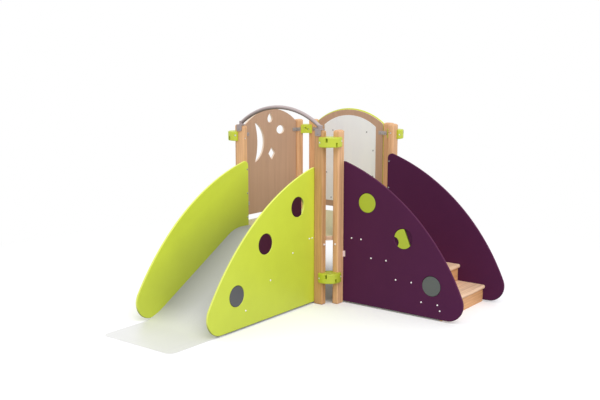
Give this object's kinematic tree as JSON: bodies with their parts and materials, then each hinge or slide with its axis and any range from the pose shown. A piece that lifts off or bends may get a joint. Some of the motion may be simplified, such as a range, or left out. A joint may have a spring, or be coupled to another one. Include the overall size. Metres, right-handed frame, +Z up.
{
  "type": "toddler climbing gym",
  "caption": "Square wooden play tower with a deck, sheet-metal slide, stairs between curved side panels, cut-out and mirror panels, corner brackets and an arched handrail.",
  "frame": {"origin": "centre of the whole object's footprint, on the ground", "axes": "+Z up; the slide runs down towards -Y and the stairs towards +X"},
  "size_m": [2.3383, 2.8923, 1.7029],
  "materials": {
    "timber": "planed light timber with a clear glaze",
    "lime_laminate": "lime compact laminate, satin",
    "purple_laminate": "dark purple compact laminate, satin",
    "grey_laminate": "slate grey compact laminate, satin",
    "brown_laminate": "brown wood-grain laminate, satin",
    "deck_plywood": "film-faced plywood",
    "slide_steel": "brushed stainless sheet",
    "mirror_steel": "polished stainless sheet",
    "rail_tube": "mauve-grey powder coat",
    "steel": "zinc-plated steel"
  },
  "bodies": {
    "root": {"slide_post_near": "timber", "slide_post_far": "timber", "stair_post_near": "timber", "stair_post_far": "timber", "moon_post_front": "timber", "moon_post_back": "timber", "mirror_post_left": "timber", "mirror_post_right": "timber", "outer_bracket_near_low": "lime_laminate", "outer_bracket_right_low": "lime_laminate", "outer_bracket_back_low": "lime_laminate", "outer_bracket_left_low": "lime_laminate", "outer_bracket_near_top": "lime_laminate", "outer_bracket_right_top": "lime_laminate", "outer_bracket_back_top": "lime_laminate", "outer_bracket_left_top": "lime_laminate", "inner_bracket_near_low": "lime_laminate", "inner_bracket_right_low": "lime_laminate", "inner_bracket_back_low": "lime_laminate", "inner_bracket_left_low": "lime_laminate", "inner_bracket_near_top": "lime_laminate", "inner_bracket_right_top": "lime_laminate", "inner_bracket_back_top": "lime_laminate", "inner_bracket_left_top": "lime_laminate", "slide_panel_near": "lime_laminate", "slide_panel_far": "lime_laminate", "stair_panel_near": "purple_laminate", "stair_panel_far": "purple_laminate", "slide_disc_upper": "purple_laminate", "slide_disc_middle": "purple_laminate", "slide_disc_lower": "grey_laminate", "stair_disc_upper": "lime_laminate", "stair_disc_middle": "lime_laminate", "stair_disc_lower": "grey_laminate", "moon_panel": "brown_laminate", "mirror_panel": "brown_laminate", "mirror_backing": "lime_laminate", "mirror_sheet": "mirror_steel", "deck_board": "deck_plywood", "slide_bearer": "timber", "stair_bearer": "timber", "mirror_bearer": "timber", "moon_bearer": "timber", "slide_chute": "slide_steel", "landing_board": "timber", "tread_1": "timber", "tread_2": "timber", "tread_3": "timber", "riser_1": "timber", "riser_2": "timber", "riser_3": "timber", "riser_4": "timber", "handrail": "rail_tube", "panel_clips": "steel", "panel_cleats": "steel", "corner_bolts": "steel", "corner_nuts": "steel", "bearer_bolts": "steel", "panel_screws": "steel", "side_screws": "steel"}
  },
  "joints": []
}
